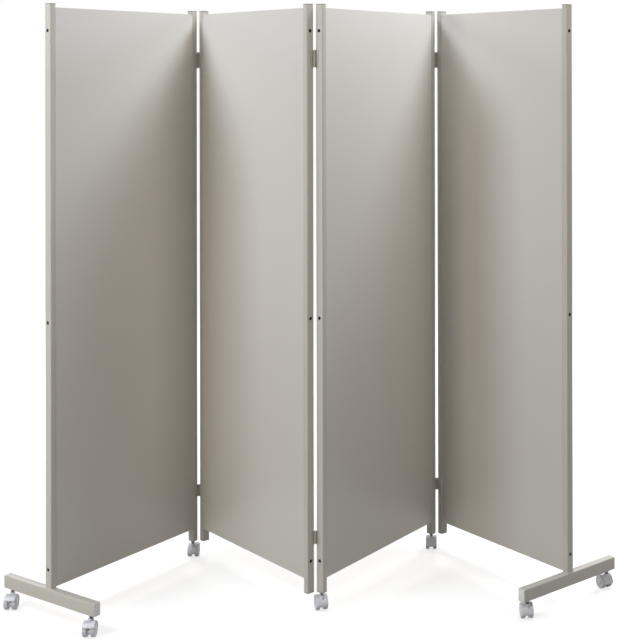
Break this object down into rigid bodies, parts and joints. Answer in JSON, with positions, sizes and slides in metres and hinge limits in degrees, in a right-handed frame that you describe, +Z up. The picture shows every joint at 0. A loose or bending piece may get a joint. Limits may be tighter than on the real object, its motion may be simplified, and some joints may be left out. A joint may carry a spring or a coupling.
{
  "type": "mobile partition screen",
  "caption": "Freestanding folding partition screen: flat boards between slim steel posts, hinged in a zigzag, with cross feet and swivelling twin-wheel casters",
  "frame": {"origin": "on the floor, in the middle of the screen's ground plan", "axes": "+Z up; +X along the screen from its left end to its right end as seen from the front; +Y from the front of the screen towards its back"},
  "size_m": [1.8486, 0.6336, 1.8],
  "materials": {
    "board": "warm grey melamine on chipboard",
    "paint": "warm grey powder coat",
    "cap": "pale grey moulded plastic",
    "hood": "pale lavender grey moulded nylon",
    "wheel": "grey moulded nylon",
    "steel": "zinc plated steel"
  },
  "bodies": {
    "panel_2": {"panel_2_board": "board", "panel_2_left_post": "paint", "panel_2_right_post": "paint", "fold_2_upper_hinge_pin": "steel", "fold_2_lower_hinge_pin": "steel"},
    "panel_1": {"panel_1_board": "board", "panel_1_left_post": "paint", "panel_1_right_post": "paint", "fold_1_upper_hinge_pin": "steel", "fold_1_lower_hinge_pin": "steel", "left_foot_bar": "paint", "left_foot_front_cap": "cap", "left_foot_back_cap": "cap", "left_back_caster_stem": "steel", "left_front_caster_stem": "steel", "left_valley_caster_stem": "steel"},
    "panel_3": {"panel_3_board": "board", "panel_3_left_post": "paint", "panel_3_right_post": "paint", "fold_3_upper_hinge_pin": "steel", "fold_3_lower_hinge_pin": "steel", "centre_caster_stem": "steel", "right_valley_caster_stem": "steel"},
    "panel_4": {"panel_4_board": "board", "panel_4_left_post": "paint", "panel_4_right_post": "paint", "right_foot_bar": "paint", "right_foot_front_cap": "cap", "right_foot_back_cap": "cap", "right_front_caster_stem": "steel", "right_back_caster_stem": "steel"},
    "left_back_caster_swivel": {"left_back_caster_hood": "hood"},
    "left_back_caster_wheels": {"left_back_caster_axle": "steel", "left_back_caster_left_wheel": "wheel", "left_back_caster_right_wheel": "wheel"},
    "left_front_caster_swivel": {"left_front_caster_hood": "hood"},
    "left_front_caster_wheels": {"left_front_caster_axle": "steel", "left_front_caster_left_wheel": "wheel", "left_front_caster_right_wheel": "wheel"},
    "left_valley_caster_swivel": {"left_valley_caster_hood": "hood"},
    "left_valley_caster_wheels": {"left_valley_caster_axle": "steel", "left_valley_caster_left_wheel": "wheel", "left_valley_caster_right_wheel": "wheel"},
    "centre_caster_swivel": {"centre_caster_hood": "hood"},
    "centre_caster_wheels": {"centre_caster_axle": "steel", "centre_caster_left_wheel": "wheel", "centre_caster_right_wheel": "wheel"},
    "right_valley_caster_swivel": {"right_valley_caster_hood": "hood"},
    "right_valley_caster_wheels": {"right_valley_caster_axle": "steel", "right_valley_caster_left_wheel": "wheel", "right_valley_caster_right_wheel": "wheel"},
    "right_front_caster_swivel": {"right_front_caster_hood": "hood"},
    "right_front_caster_wheels": {"right_front_caster_axle": "steel", "right_front_caster_left_wheel": "wheel", "right_front_caster_right_wheel": "wheel"},
    "right_back_caster_swivel": {"right_back_caster_hood": "hood"},
    "right_back_caster_wheels": {"right_back_caster_axle": "steel", "right_back_caster_left_wheel": "wheel", "right_back_caster_right_wheel": "wheel"}
  },
  "joints": [
    {"name": "fold_1", "type": "hinge", "parent": "panel_2", "child": "panel_1", "pos_m": [-0.38838, 0.28577, 0], "axis": [0, 0, -1], "range_deg": [-45.5, 104.5]},
    {"name": "fold_2", "type": "hinge", "parent": "panel_2", "child": "panel_3", "pos_m": [0.00471, -0.18108, 0], "axis": [0, 0, -1], "range_deg": [-45.5, 104.5]},
    {"name": "fold_3", "type": "hinge", "parent": "panel_3", "child": "panel_4", "pos_m": [0.39781, 0.28577, 0], "axis": [0, 0, 1], "range_deg": [-44, 106]},
    {"name": "left_back_swivel", "type": "hinge", "parent": "panel_1", "child": "left_back_caster_swivel", "pos_m": [-0.89768, -0.07227, 0], "axis": [0, 0, 1], "continuous": true},
    {"name": "left_back_roll", "type": "hinge", "parent": "left_back_caster_swivel", "child": "left_back_caster_wheels", "pos_m": [-0.89859, -0.08524, 0.02], "axis": [-0.9976, 0.0698, 0], "continuous": true},
    {"name": "left_front_swivel", "type": "hinge", "parent": "panel_1", "child": "left_front_caster_swivel", "pos_m": [-0.62727, -0.28164, 0], "axis": [0, 0, 1], "continuous": true},
    {"name": "left_front_roll", "type": "hinge", "parent": "left_front_caster_swivel", "child": "left_front_caster_wheels", "pos_m": [-0.62817, -0.29461, 0.02], "axis": [-0.9976, 0.0698, 0], "continuous": true},
    {"name": "left_valley_swivel", "type": "hinge", "parent": "panel_1", "child": "left_valley_caster_swivel", "pos_m": [-0.40739, 0.28164, 0], "axis": [0, 0, 1], "continuous": true},
    {"name": "left_valley_roll", "type": "hinge", "parent": "left_valley_caster_swivel", "child": "left_valley_caster_wheels", "pos_m": [-0.40648, 0.29461, 0.02], "axis": [0.9976, -0.0698, 0], "continuous": true},
    {"name": "centre_swivel", "type": "hinge", "parent": "panel_3", "child": "centre_caster_swivel", "pos_m": [0.02372, -0.17696, 0], "axis": [0, 0, 1], "continuous": true},
    {"name": "centre_roll", "type": "hinge", "parent": "centre_caster_swivel", "child": "centre_caster_wheels", "pos_m": [0.02058, -0.16434, 0.02], "axis": [0.9703, 0.2419, 0], "continuous": true},
    {"name": "right_valley_swivel", "type": "hinge", "parent": "panel_3", "child": "right_valley_caster_swivel", "pos_m": [0.37881, 0.28164, 0], "axis": [0, 0, 1], "continuous": true},
    {"name": "right_valley_roll", "type": "hinge", "parent": "right_valley_caster_swivel", "child": "right_valley_caster_wheels", "pos_m": [0.37971, 0.29461, 0.02], "axis": [0.9976, -0.0698, 0], "continuous": true},
    {"name": "right_front_swivel", "type": "hinge", "parent": "panel_4", "child": "right_front_caster_swivel", "pos_m": [0.62176, -0.2877, 0], "axis": [0, 0, 1], "continuous": true},
    {"name": "right_front_roll", "type": "hinge", "parent": "right_front_caster_swivel", "child": "right_front_caster_wheels", "pos_m": [0.62108, -0.27472, 0.02], "axis": [0.9986, 0.0523, 0], "continuous": true},
    {"name": "right_back_swivel", "type": "hinge", "parent": "panel_4", "child": "right_back_caster_swivel", "pos_m": [0.89756, -0.08547, 0], "axis": [0, 0, 1], "continuous": true},
    {"name": "right_back_roll", "type": "hinge", "parent": "right_back_caster_swivel", "child": "right_back_caster_wheels", "pos_m": [0.89187, -0.07379, 0.02], "axis": [0.8988, 0.4384, 0], "continuous": true}
  ]
}
